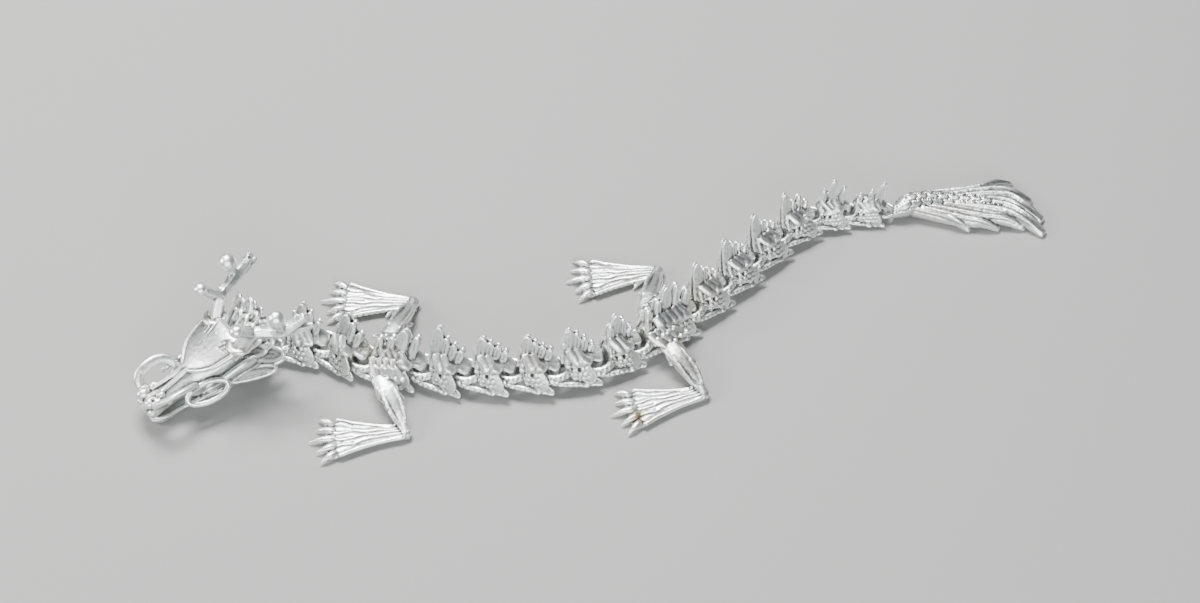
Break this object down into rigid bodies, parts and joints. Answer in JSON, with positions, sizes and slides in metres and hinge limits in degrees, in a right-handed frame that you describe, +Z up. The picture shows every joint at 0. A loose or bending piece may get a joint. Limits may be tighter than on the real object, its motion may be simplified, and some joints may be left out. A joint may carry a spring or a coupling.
{
  "type": "articulated silver dragon figurine",
  "caption": "Slim cast-silver dragon of hooked-together links, lying stretched out with antlered head, splayed paws and a tufted tail.",
  "frame": {"origin": "middle of the dragon's box, on the surface that it lies on", "axes": "+Z up, the head toward -X and the tail's tuft toward +X, the near side toward -Y"},
  "size_m": [0.1794, 0.07, 0.0223],
  "materials": {
    "silver": "polished cast silver, darker in its recesses"
  },
  "bodies": {
    "root": {"head": "silver", "neck_link_1": "silver", "neck_link_2": "silver", "shoulder_link": "silver", "body_link_1": "silver", "body_link_2": "silver", "body_link_3": "silver", "body_link_4": "silver", "body_link_5": "silver", "hip_link": "silver", "tail_link_1": "silver", "tail_link_2": "silver", "tail_link_3": "silver", "tail_link_4": "silver", "tail_link_5": "silver", "tail_link_6": "silver", "tail_tuft": "silver"}
  },
  "joints": []
}
